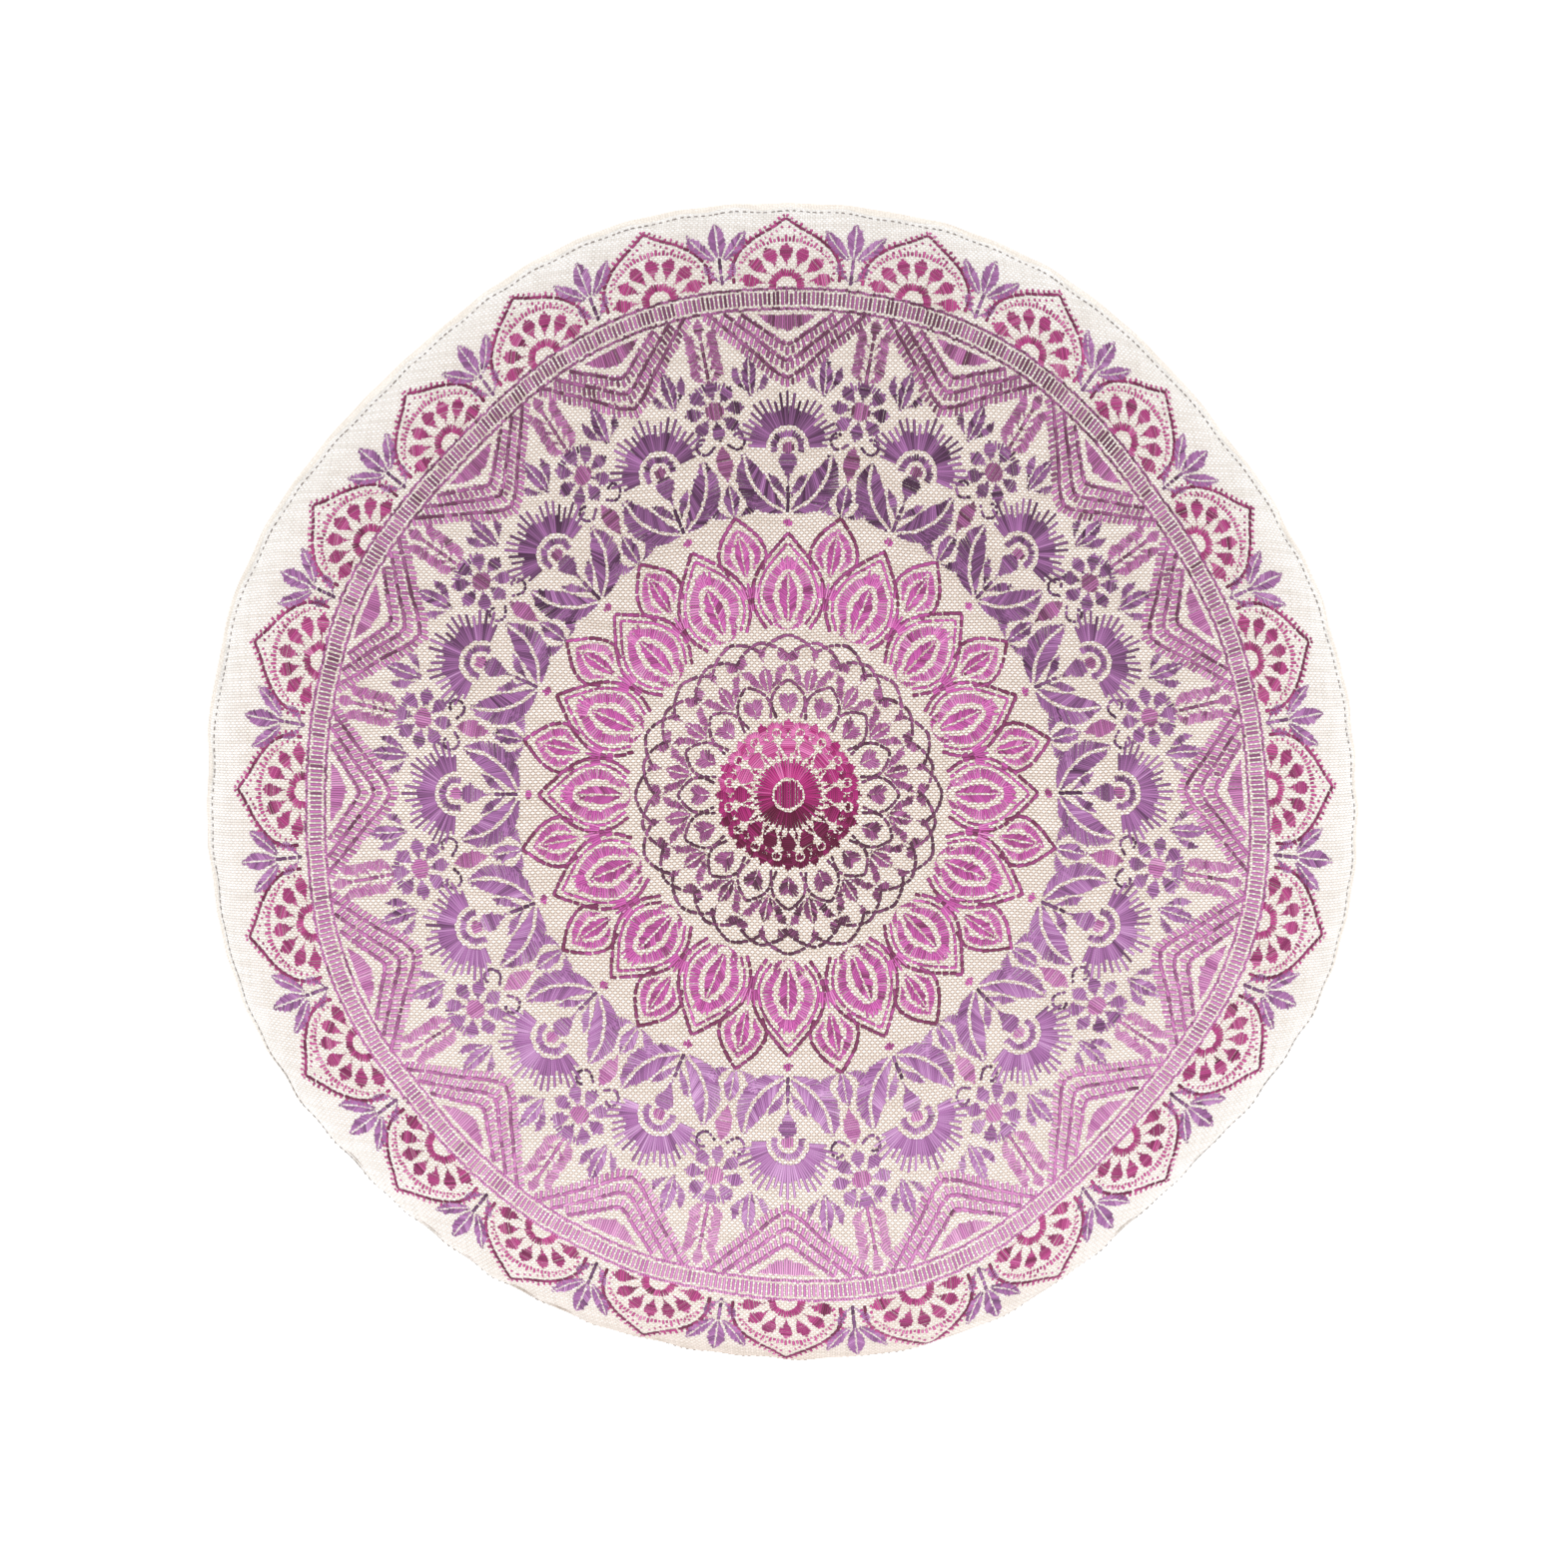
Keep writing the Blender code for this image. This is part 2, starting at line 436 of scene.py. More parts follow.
def cover_piece(name, layers):
    """A piece of the cover through layers of rings: (part, shares, how far out of the surface) for each.

    A layer may run down the section or back up it, and the first and the last start and end on the axis.
    """
    azimuth = even_turns(MERIDIANS)
    rings, cloth, bake, painted_rim_light, front_shade = [], [], [], [], []
    # How much of the painted shade each meridian takes, most towards -Y
    to_front = (0.5 - 0.5 * np.sin(azimuth)) ** FRONT_SHADE_NARROWNESS
    closed = np.append(azimuth, 2 * math.pi)
    for number, (part, shares, out) in enumerate(layers):
        for share in shares:
            ring, closed_ring = np.full_like(azimuth, share), np.full_like(closed, share)
            rings.append(surface(part, ring, azimuth, out))
            cloth.append(cloth_place(part, closed_ring, closed))
            bake.append(bake_place(part, number, closed_ring, closed))
            away = from_seam(part, ring)
            # How much painted light near the seams lightens the cloth
            painted_rim_light.append(np.exp(-away / PAINTED_RIM_LIGHT_REACH))
            # Painted shade on the roll towards -Y
            front_shade.append(np.exp(-away / FRONT_SHADE_REACH) * to_front)
    first_pole, last_pole = rings[0].mean(axis=0), rings[-1].mean(axis=0)
    piece, _ = skin(name, np.array(rings[1:-1]), first_pole, last_pole)
    write_corners(piece.data, np.array(cloth), np.array(bake))
    # Writes the masks of the painted rim light and the painted front shade on the points
    for value, rows in (("painted_rim_light", painted_rim_light), ("front_shade", front_shade)):
        set_values(piece.data, value, "FLOAT", [*np.ravel(rows[1:-1]), rows[0][0], rows[-1][0]])
    piece.data.set_sharp_from_angle(angle=SHARP_ANGLE)
    return piece


def write_corners(mesh, cloth, bake):
    """Writes the cloth's own coordinates and the baking map on the corners of skin's faces, in its order."""
    last = len(cloth) - 1
    around = np.arange(MERIDIANS)[:, None]
    down = np.arange(1, last - 1)[:, None, None]
    rows = (down + 0 * around + (0, 1, 1, 0), 0 * around + (0, 1, 1), 0 * around + (last, last - 1, last - 1))
    columns = (0 * down + around + (0, 0, 1, 1), around + (0, 0, 1), around + (0, 1, 0))
    row, column = (np.concatenate([part.ravel() for part in parts]) for parts in (rows, columns))
    flat = cloth[row, column]
    set_values(mesh, "cloth", "FLOAT_VECTOR", np.pad(flat, ((0, 0), (0, 1))), "CORNER")
    mesh.uv_layers.new(name="OFBake").data.foreach_set("uv", bake[row, column].ravel())


def cloth_place(part, share, azimuth):
    """Where a point lies on the flat cloth it was cut from, before the panel was pulled out of true."""
    if part == "band":
        place = np.stack([azimuth * TOP_SEAM_RADIUS, share * BAND_HEIGHT], axis=-1)
        return place + wobble(place)
    if part == "crown":
        radius = np.interp(share, CROWN_SHARES, CROWN_FLAT)
        place = (radius[..., None] * compass(azimuth) - PANEL_OFFSET) / PANEL_STRETCH
        return place + wobble(place)
    radius, _ = underside(share, azimuth)
    return radius[..., None] * compass(azimuth + UNDERSIDE_TURN)


def wobble(place):
    """Slow waves that keep a canvas's threads from running dead straight."""
    across, along = place[..., 0], place[..., 1]
    moved = np.stack(
        [
            np.sin(along * 140 + 1.0) + 0.6 * np.sin(along * 67 + across * 31),
            np.sin(across * 125 + 2.0) + 0.6 * np.sin(across * 58 - along * 37),
        ],
        axis=-1,
    )
    return moved * WAVER


# The baking map: rows that the band is cut into, the map's side in metres, and how small hidden faces are
BAKE_ROWS = 4
BAKE_SIDE = 0.42
BAKE_HIDDEN = 0.14
# The layer of a panel that is its outer face
OUTER_LAYER = {"crown": 0, "underside": 1}


def bake_place(part, number, share, azimuth):
    """A place on the square baking map. Outer faces lie at one scale, hidden ones are small in a corner."""
    if part == "band":
        turn = azimuth / (2 * math.pi) * BAKE_ROWS
        row = np.minimum(np.floor(turn + 1e-9), BAKE_ROWS - 1)
        return np.stack([turn - row, (row + 0.06 + 0.86 * share) * 0.2], axis=-1)
    radius = np.interp(share, CROWN_SHARES, CROWN_FLAT) if part == "crown" else underside(share, azimuth)[0]
    turned = radius[..., None] * compass(azimuth) / BAKE_SIDE
    if number == OUTER_LAYER[part]:
        return turned + 0.5
    return turned * BAKE_HIDDEN + np.array([0.075 if part == "crown" else 0.925, 0.925])


# ---- materials


class Graph:
    """A material and short ways to add nodes to it. Values may be numbers or other nodes' outputs."""

    def __init__(self, name, roughness, sheen=0.0):
        self.material = bpy.data.materials.new(name)
        self.material.use_nodes = True
        self.tree = self.material.node_tree
        self.shader = self.tree.nodes["Principled BSDF"]
        self.shader.inputs["Roughness"].default_value = roughness
        self.shader.inputs["Sheen Weight"].default_value = sheen
        self.shader.inputs["Specular IOR Level"].default_value = 0.3

    def node(self, kind, inputs=(), **settings):
        node = self.tree.nodes.new(kind)
        for key, value in settings.items():
            setattr(node, key, value)
        for socket, value in dict(inputs).items():
            self.join(node.inputs[socket], value)
        return node

    def join(self, socket, value):
        if isinstance(value, bpy.types.NodeSocket):
            self.tree.links.new(value, socket)
        else:
            socket.default_value = value

    def math(self, operation, *values):
        return self.node("ShaderNodeMath", enumerate(values), operation=operation).outputs[0]

    def blend(self, factor, first, second, how="MIX"):
        """A colour between two colours, or the first changed by the second."""
        node = self.node("ShaderNodeMix", data_type="RGBA", blend_type=how)
        for socket, value in zip((0, 6, 7), (factor, first, second)):
            self.join(node.inputs[socket], value)
        return node.outputs[2]

    def ramp(self, value, stops):
        """Colours at places from 0 to 1."""
        node = self.node("ShaderNodeValToRGB", {"Fac": value})
        while len(node.color_ramp.elements) < len(stops):
            node.color_ramp.elements.new(0.5)
        for element, (place, tint) in zip(node.color_ramp.elements, stops):
            element.position = place
            element.color = tint
        return node.outputs["Color"]

    def noise(self, vector, scale, detail=1.0):
        inputs = {"Vector": vector, "Scale": scale, "Detail": detail}
        return self.node("ShaderNodeTexNoise", inputs).outputs[0]

    def vector(self, x, y, z=0.0):
        return self.node("ShaderNodeCombineXYZ", {"X": x, "Y": y, "Z": z}).outputs[0]

    def attribute(self, name, output="Vector"):
        return self.node("ShaderNodeAttribute", attribute_name=name).outputs[output]

    def split(self, vector):
        return self.node("ShaderNodeSeparateXYZ", {"Vector": vector}).outputs

    def finish(self, tint, height, depth, strength=1.0):
        """Colours the shader and bumps it by a height from 0 to 1 that stands for a depth in metres."""
        inputs = {"Height": height, "Distance": depth, "Strength": strength}
        bump = self.node("ShaderNodeBump", inputs)
        self.join(self.shader.inputs["Base Color"], tint)
        self.join(self.shader.inputs["Normal"], bump.outputs[0])
        return self.material


def colour(code):
    """A colour from its usual six-figure code, as the shader wants it."""
    parts = [int(code[place : place + 2], 16) / 255 for place in (1, 3, 5)]
    linear = [part / 12.92 if part <= 0.04045 else ((part + 0.055) / 1.055) ** 2.4 for part in parts]
    return (*linear, 1.0)


def canvas(name, cream, dull, shade, painted_rim_light):
    """Coarse plain-woven canvas: staggered oval beads of weft over a sunk warp, with dull specks between.

    Next to the seams the cloth is lightened by painted light for the bright rim, which hides its specks.
    """
    graph = Graph(name, roughness=0.92, sheen=0.08)
    place = graph.split(graph.attribute("cloth"))
    warp = graph.math("MULTIPLY", place["X"], 1 / THREAD_PITCH)
    weft = graph.math("MULTIPLY", place["Y"], 1 / THREAD_PITCH)
    column, row = graph.math("FLOOR", warp), graph.math("FLOOR", weft)
    beside = graph.math("SUBTRACT", graph.math("FLOORED_MODULO", graph.math("ADD", warp, row), 2.0), 1.0)
    above = graph.math("SUBTRACT", graph.math("FRACT", weft), 0.5)
    bead = oval(graph, beside, above, 0.78, 0.53)
    from_warp = graph.math("SUBTRACT", 1.0, graph.math("ABSOLUTE", beside))
    sunk = graph.math("MULTIPLY", oval(graph, from_warp, above, 0.48, 0.80), 0.42)
    height = graph.math("MAXIMUM", bead, sunk)
    over = graph.math("GREATER_THAN", bead, sunk)
    down_warp = graph.vector(column, graph.math("MULTIPLY", weft, 0.07))
    down_weft = graph.vector(graph.math("MULTIPLY", warp, 0.07), row, 40.0)
    threads = {"Factor": over, "A": graph.noise(down_warp, 0.93), "B": graph.noise(down_weft, 0.93)}
    thread = graph.node("ShaderNodeMix", threads).outputs["Result"]
    lit = graph.ramp(height, ((0.10, colour(shade)), (0.45, colour(dull)), (0.80, colour(cream))))
    # Painted light: near the seams the cloth is lightened towards a pale colour for the bright rim
    rim_light_share = graph.math("MULTIPLY", graph.attribute("painted_rim_light", "Fac"), MOST_PAINTED_RIM_LIGHT)
    lit = graph.blend(rim_light_share, lit, colour(painted_rim_light))
    slub = graph.ramp(thread, ((0.35, (0.84, 0.82, 0.79, 1)), (0.62, (1, 1, 1, 1))))
    stained = graph.noise(graph.attribute("cloth"), 18.0, 3.0)
    worn = graph.ramp(stained, ((0.3, (0.96, 0.95, 0.94, 1)), (0.7, (1, 1, 1, 1))))
    tint = graph.blend(1.0, graph.blend(1.0, lit, slub, "MULTIPLY"), worn, "MULTIPLY")
    # Painted shade: a warm darkening where the panel rolls over the seam towards -Y
    tint = graph.blend(graph.attribute("front_shade", "Fac"), tint, (0.62, 0.50, 0.42, 1), "MULTIPLY")
    return graph.finish(tint, height, 0.00030)


def oval(graph, across, along, half_width, half_length):
    """The height of a rounded oval, from 1 at its middle to 0 at its rim."""
    parts = [
        graph.math("POWER", graph.math("MULTIPLY", graph.math("ABSOLUTE", offset_by), 1 / half), 2.0)
        for offset_by, half in ((across, half_width), (along, half_length))
    ]
    left = graph.math("SUBTRACT", 1.0, graph.math("ADD", *parts))
    return graph.math("SQRT", graph.math("MAXIMUM", left, 0.0))


def floss(name, dark, middle, light):
    """Twisted satin thread with fine slanting strands. Painted shade darkens its dips into the cloth and its
    edges.
    """
    graph = Graph(name, roughness=0.5)
    strand = graph.split(graph.attribute("strand"))
    turn = graph.math("ADD", graph.math("MULTIPLY", strand["X"], 1.6), strand["Y"])
    twist = graph.math("SINE", graph.math("MULTIPLY", turn, 2 * math.pi))
    twist = graph.math("ADD", graph.math("MULTIPLY", twist, 0.5), 0.5)
    tone = graph.attribute("tone", "Fac")
    tint = graph.ramp(tone, ((0.0, colour(dark)), (0.5, colour(middle)), (1.0, colour(light))))
    # Painted shade where the thread dips into the cloth
    dip = graph.ramp(strand["Z"], ((0.0, (0.34, 0.26, 0.32, 1)), (0.62, (1, 1, 1, 1))))
    ply = graph.ramp(twist, ((0.0, (0.80, 0.78, 0.80, 1)), (0.7, (1, 1, 1, 1))))
    beside = graph.math("ABSOLUTE", strand["Y"])
    # Painted shade at the thread's edges, between neighbouring threads
    gap = graph.ramp(beside, ((0.18, (1, 1, 1, 1)), (0.5, (0.30, 0.22, 0.29, 1))))
    for change in (dip, ply, gap):
        tint = graph.blend(1.0, tint, change, "MULTIPLY")
    return graph.finish(tint, twist, 0.00008, 0.8)


# ---- lines and stitches on the flat panel
# A line is an array of (outwards, sideways) points in millimetres. Stitches are pairs of such points.

# How far apart satin stitches lie, and a thread's usual width, in millimetres
PITCH = 0.82
THREAD = 0.78


def spots(*points):
    return np.array(points, float)


def length(line):
    return float(np.hypot(*np.diff(line, axis=0).T).sum())


def resampled(line, count):
    """The line with this many points, evenly spaced."""
    steps = np.hypot(*np.diff(line, axis=0).T)
    reached = np.concatenate([[0], np.cumsum(steps)])
    wanted = np.linspace(0, reached[-1], count)
    return np.stack([np.interp(wanted, reached, line[:, axis]) for axis in (0, 1)], axis=1)


def spaced(line, pitch, least):
    """The line with points about a pitch apart, and at least so many."""
    return resampled(line, max(least, round(length(line) / pitch) + 1))


def smooth(*points):
    """A smooth curve through the points."""
    line = spots(*points)
    padded = np.concatenate([2 * line[:1] - line[1:2], line, 2 * line[-1:] - line[-2:-1]])
    fractions = np.linspace(0, 1, 12, endpoint=False)[:, None]
    pieces = []
    for four in zip(padded, padded[1:], padded[2:], padded[3:]):
        pieces.append(sum(point * weight for point, weight in zip(four, weights(fractions))))
    curve = np.concatenate([*pieces, padded[-2:-1]])
    return resampled(curve, max(4, int(length(curve) / 0.4)))


def arc(middle, radius, first, last):
    """An arc round a middle. 0 degrees is outwards."""
    count = max(4, int(math.radians(abs(last - first)) * radius / 0.4))
    return spots(middle) + radius * compass(np.radians(np.linspace(first, last, count)))


def left_of(along):
    """Directions turned a quarter to the left."""
    return np.stack([-along[:, 1], along[:, 0]], axis=1)


def unit(steps):
    """Directions at length 1."""
    return steps / np.maximum(np.hypot(*steps.T), 1e-9)[:, None]


def headings(line):
    """The unit direction along a line and the one to its left, at each point."""
    along = unit(np.gradient(line, axis=0))
    return along, left_of(along)


def offset(line, distance):
    """The line moved to its left. The distance may change along it."""
    return line + headings(line)[1] * np.reshape(distance, (-1, 1))


def inside(line, distance):
    """A petal's edge moved in towards the motif's axis, as far as the axis."""
    moved = offset(line, -distance)
    return moved[moved[:, 1] >= 0]


def flipped(marks):
    """Lines or stitches mirrored in the motif's axis."""
    return marks * np.array([1, -1])


def both(stitches):
    return np.concatenate([stitches, flipped(stitches)])


def placed(stitches, at, turn=0.0):
    """Stitches drawn about the point (0, 0), turned and moved to a place in a motif."""
    cosine, sine = math.cos(math.radians(turn)), math.sin(math.radians(turn))
    return stitches @ np.array([[cosine, sine], [-sine, cosine]]) + spots(at)


def stem(line, stitch=2.3, lean=0.16):
    """Stem stitches: each leans across the line and overlaps the next."""
    points = spaced(line, stitch, 2)
    first, last = points[:-1], points[1:]
    along = (last - first) * 0.1
    side = unit(left_of(last - first)) * lean
    return np.stack([first - along + side, last + along - side], axis=1)


def running(line, stitch=1.7, gap=0.8):
    """Separate stitches along a line, with the cloth showing between them."""
    count = max(1, round(length(line) / (stitch + gap)))
    points = resampled(line, 2 * count + 1)
    return np.stack([points[:-1:2], points[1::2]], axis=1)


def satin(first_rail, last_rail):
    """Close stitches from one rail to the other."""
    count = max(2, round((length(first_rail) + length(last_rail)) / 2 / PITCH) + 1)
    return np.stack([resampled(first_rail, count), resampled(last_rail, count)], axis=1)


def ribbon(line, width, pitch=PITCH, tapered=False):
    """Satin straight across a line."""
    line = spaced(line, pitch, 3)
    half = np.full(len(line), width / 2)
    if tapered:
        half = half * np.sin(math.pi * np.linspace(0.04, 0.96, len(line))) ** 0.5
    return np.stack([offset(line, half), offset(line, -half)], axis=1)


def leaf_halves(share, width, belly):
    """Half the width of a leaf at each share of its length. Its belly is the share where it is widest."""
    power = math.log(0.5) / math.log(belly)
    return width / 2 * np.sin(math.pi * share**power) ** 0.85


def petal(spine, width, belly=0.6, pitch=PITCH):
    """A leaf shape filled with satin straight across its spine."""
    spine = spaced(spine, pitch, 4)
    half = leaf_halves(np.linspace(0.04, 0.96, len(spine)), width, belly)
    return np.stack([offset(spine, half), offset(spine, -half)], axis=1)


def fishbone(spine, width, belly=0.45, pitch=PITCH, slant=1.5, slit=0.16):
    """A leaf filled on either side of its spine with stitches that slant forwards."""
    spine = spaced(spine, pitch, 5)
    half = leaf_halves(np.linspace(0.03, 0.97, len(spine)), width, belly)
    forwards = headings(spine)[0] * (slant * half / half.max())[:, None]
    sides = []
    for hand in (-1, 1):
        root = offset(spine, hand * slit) - forwards * 0.5
        edge = offset(spine, hand * half) + forwards
        sides.append(np.stack([root, edge], axis=1))
    return np.concatenate(sides)


def rays(middle, inner, outer, first, last, count, shorter=0.2):
    """Long and short stitches that spread from a middle. Every other one is shorter."""
    direction = compass(np.radians(np.linspace(first, last, count)))
    uneven = 1 - shorter * (np.arange(count) % 2)
    inner = np.broadcast_to(inner, count)
    reach = inner + (np.broadcast_to(outer, count) - inner) * uneven
    return spots(middle) + np.stack([direction * inner[:, None], direction * reach[:, None]], axis=1)


def barbs(line, reach, pitch=1.8, angle=90.0, root=0.0):
    """Stitches off the left of a line, leaning forwards, or off its right where the reach is below zero."""
    points = resampled(line, max(2, round(length(line) / pitch)))
    along, left = headings(points)
    hand = math.copysign(1.0, np.min(reach))
    direction = along * math.cos(math.radians(angle)) + left * hand * math.sin(math.radians(angle))
    foot = points + direction * root
    return np.stack([foot, points + direction * np.abs(np.reshape(reach, (-1, 1)))], axis=1)


def dot(middle, radius, pitch=0.8):
    """A small satin disc."""
    across = np.arange(-radius + pitch / 2, radius, pitch)
    half = np.sqrt(radius**2 - across**2)
    return spots(middle) + np.stack([np.stack([-half, across], 1), np.stack([half, across], 1)], axis=1)


# ---- the embroidery's motifs


class Embroidery:
    """All the stitches of one piece, in millimetres on the flat panel, with a width and a tone for each."""

    def __init__(self, name, slot, floss_material):
        self.name, self.slot, self.material = name, slot, floss_material
        self.ends, self.widths, self.tones = [], [], []

    def sew(self, stitches, copies=16, turn=0.0, width=THREAD, tone=0.5, swing=0.0, light=90.0):
        """Repeats a motif's stitches round the mandala, the first turned by a share of a copy.

        The thread's tone is lighter by the swing towards the azimuth given as light, and darker away from it.
        This is partly the thread's own ombre and partly painted light and shade.
        """
        angles = (np.arange(copies) + turn) * 2 * math.pi / copies + math.pi / 2
        cosine, sine = np.cos(angles), np.sin(angles)
        turns = np.stack([np.stack([cosine, sine], 1), np.stack([-sine, cosine], 1)], axis=1)
        ends = np.einsum("sej,cjk->csek", stitches, turns).reshape(-1, 2, 2)
        self.keep(ends, width, tone, swing, light)

    def keep(self, ends, width, tone, swing=0.0, light=90.0):
        """Adds stitches that are already in their places on the panel."""
        middle = ends.mean(axis=1)
        azimuth = np.arctan2(middle[:, 1], middle[:, 0])
        self.ends.append(ends)
        self.widths.append(np.full(len(ends), width))
        self.tones.append(tone + swing * np.cos(azimuth - math.radians(light)))


# The seam's stitches: how far apart they start, the share of that each covers, and how far in they lie
SEAM_STITCH = 0.0025
SEAM_STITCH_SHARE = 0.72
SEAM_MARGIN = 0.0030

GREY = dict(dark="#7a7068", middle="#a0968c", light="#c9bfb4")
MAGENTA = dict(dark="#680a39", middle="#c02f83", light="#f28cc7")
CRIMSON = dict(dark="#721f49", middle="#cd4f96", light="#f2a2cf")
ORCHID = dict(dark="#7f345c", middle="#d965b9", light="#fbb6e3")
PURPLE = dict(dark="#532d4e", middle="#b375b1", light="#e4b4e2")
MAUVE = dict(dark="#6e3b57", middle="#ce7cb9", light="#efb3dc")
PLUM = dict(dark="#5c3149", middle="#b3649d", light="#d293c1")


def toned(tone, swing, light=88, **more):
    """How a motif's threads are toned, as sew takes it."""
    return dict(tone=tone, swing=swing, light=light, **more)


def spoke(first, last):
    """A straight line along the motif's axis."""
    return smooth((first, 0), (last, 0))


def rosette(work):
    """The middle: a satin disc in a ring of rays, sixteen fat petals and a ring of eyed loops."""
    shade = toned(0.42, 0.44, 96)
    deep = toned(0.30, 0.38, 96)
    work.sew(dot((0, 0), 4.8), copies=1, **deep)
    work.sew(rays((0, 0), 5.4, 12.0, 0, 355, 68, 0.14), copies=1, width=0.9, **deep)
    work.sew(petal(smooth((12.3, 0), (15.6, 0), (19.0, 0)), 5.8, pitch=0.7), **shade)
    work.sew(petal(smooth((12.0, 0), (13.6, 0), (15.2, 0)), 1.6, 0.5), turn=0.5, **deep)
    work.sew(ribbon(arc((20.6, 0), 2.7, -132, 132), 2.4, 0.62), turn=0.5, **shade)
    work.sew(dot((20.6, 0), 1.2), turn=0.5, **deep)
    work.sew(petal(spoke(20.2, 24.8), 3.8, pitch=0.7), **deep)


def heart(point, size):
    """One half of a small satin heart, its tip towards the middle."""
    middle = spoke(point, point + 0.76 * size)
    edge = smooth(
        (point, 0),
        (point + 0.45 * size, 0.42 * size),
        (point + 0.85 * size, 0.5 * size),
        (point + size, 0.26 * size),
        (point + 0.78 * size, 0.03),
    )
    return satin(middle, edge)


def arcade(work):
    """A ring of hearts under pointed arches, with buds, quatrefoils and two rows of interlaced bows."""
    shade = toned(0.40, 0.22, 100)
    line = toned(0.12, 0.12, 100)
    arch = smooth((25.2, 3.9), (29.0, 5.6), (32.6, 5.4), (35.8, 3.0), (38.0, 0))
    work.sew(both(stem(arch, 2.0)), width=1.05, **line)
    work.sew(both(heart(26.6, 7.0)), **shade)
    work.sew(fishbone(spoke(34.2, 42.4), 4.6), turn=0.5, **shade)
    work.sew(both(petal(smooth((35.2, 1.5), (37.8, 4.0), (41.2, 5.4)), 3.0)), turn=0.5, **shade)
    for turned in (45, 135, 225, 315):
        work.sew(placed(petal(spoke(0.8, 4.8), 3.3, 0.6), (43.4, 0), turned), **shade)
    bow = smooth((44.8, 9.8), (48.4, 7.6), (51.2, 3.8), (52.6, 0))
    work.sew(both(stem(bow, 2.1)), width=1.15, **line)
    work.sew(both(stem(bow - spots((1.9, 0)), 2.1)), turn=0.5, width=1.15, **line)
    work.sew(petal(spoke(44.4, 48.6), 2.8), turn=0.5, **shade)


def lotus(work):
    """Two rows of pointed petals: a spear between curved satin flanks, inside a double edge."""
    pink = toned(0.53, 0.06, 90)
    deep = toned(0.37, 0.05, 90)
    line = toned(0.10, 0.05, 90)
    edge = smooth((54.4, 7.2), (59.6, 10.9), (66.6, 12.3), (74.0, 9.8), (80.4, 4.8), (85.8, 0))
    work.sew(both(stem(edge)), width=1.25, **line)
    work.sew(both(stem(inside(edge, 2.1), 2.0)), width=1.0, **deep)
    work.sew(both(ribbon(inside(edge, 5.4), 3.9, tapered=True)), **pink)
    work.sew(fishbone(spoke(57.2, 72.4), 6.4), **deep)
    work.sew(rays((66.0, 0), 7.6, 12.4, -15, 15, 8, 0.3), **pink)
    work.sew(both(petal(smooth((54.2, 0.8), (55.6, 3.2), (58.4, 5.0)), 2.3)), **deep)
    behind = smooth((73.8, 5.6), (78.8, 8.2), (84.4, 6.6), (88.8, 3.2), (92.2, 0))
    work.sew(both(stem(behind)), turn=0.5, width=1.25, **line)
    work.sew(both(ribbon(inside(behind, 2.9), 2.9, tapered=True)), turn=0.5, **pink)
    work.sew(fishbone(spoke(72.8, 85.4), 4.8), turn=0.5, **deep)
    work.sew(rays((60.0, 0), 5.2, 11.0, -24, 24, 9, 0.3), turn=0.5, width=0.85, **pink)
    work.sew(dot((62.4, 0), 1.6), turn=0.5, **deep)
    work.sew(dot((89.2, 0), 1.5), **deep)


def flowers(work, eyes):
    """Fringed flowers on great split leaves, with daisies, spear buds and leaf sprigs between them."""
    shade = toned(0.42, -0.20)
    line = toned(0.14, -0.10)
    bright = toned(0.45, -0.22)
    fringe = 45
    lobes = np.abs(np.cos(np.linspace(-2.5, 2.5, fringe) * math.pi))
    outer = 14.6 + 4.6 * lobes**0.5 - 1.0 * np.abs(np.linspace(-1, 1, fringe))
    work.sew(rays((114.0, 0), 7.2, outer, -88, 88, fringe, 0.42), width=0.92, **shade)
    work.sew(ribbon(arc((114.0, 0), 4.7, -104, 104), 2.6), **shade)
    work.sew(petal(spoke(101.8, 112.4), 6.8, 0.72), **shade)
    spine = smooth((93.0, 1.6), (96.8, 7.8), (103.2, 12.8), (111.0, 15.0))
    work.sew(both(fishbone(spine, 10.4, 0.44, 0.85, 2.4, 0.42)), **shade)
    work.sew(stem(smooth((92.6, 0), (97.6, 0), (101.2, 0)), 2.0), width=1.2, **line)
    work.sew(both(petal(smooth((97.2, 0.8), (100.6, 2.8), (105.0, 6.4)), 3.2)), **shade)
    daisy = petal(spoke(3.4, 9.9), 5.0, 0.62)
    for number in range(8):
        work.sew(placed(daisy, (128.0, 0), 45 * number), turn=0.5, **shade)
    for sign in (-1, 1):
        work.sew(placed(rays((0, 0), 7.0, 10.4, -8, 8, 3), (128.0, 0), sign * 22.5), turn=0.5, **shade)
    eyes.sew(petal(smooth((104.4, 0), (110, 0), (115.6, 0)), 6.0, 0.55), turn=0.5, **bright)
    work.sew(fishbone(spoke(92.6, 102.8), 5.4), turn=0.5, **shade)
    work.sew(both(petal(smooth((92.4, 1.8), (94.4, 5.8), (99.0, 8.6)), 4.2)), turn=0.5, **shade)
    tendril = smooth((116.6, 2.0), (114.0, 5.4), (116.4, 8.4), (119.6, 7.0), (118.8, 4.6))
    work.sew(both(stem(tendril, 1.7)), turn=0.5, width=1.0, **line)
    work.sew(both(fishbone(smooth((131.0, 12.6), (137.2, 13.2), (144.0, 13.4)), 4.8)), **shade)
    work.sew(both(petal(smooth((132.6, 10.6), (135.2, 8.2), (138.4, 7.2)), 3.0)), **shade)
    work.sew(both(petal(smooth((132.8, 14.8), (136.0, 17.2), (140.4, 18.6)), 3.2)), **shade)
    eyes.sew(dot((128.0, 0), 3.3), turn=0.5, **bright)
    eyes.sew(dot((114.0, 0), 2.2), **bright)


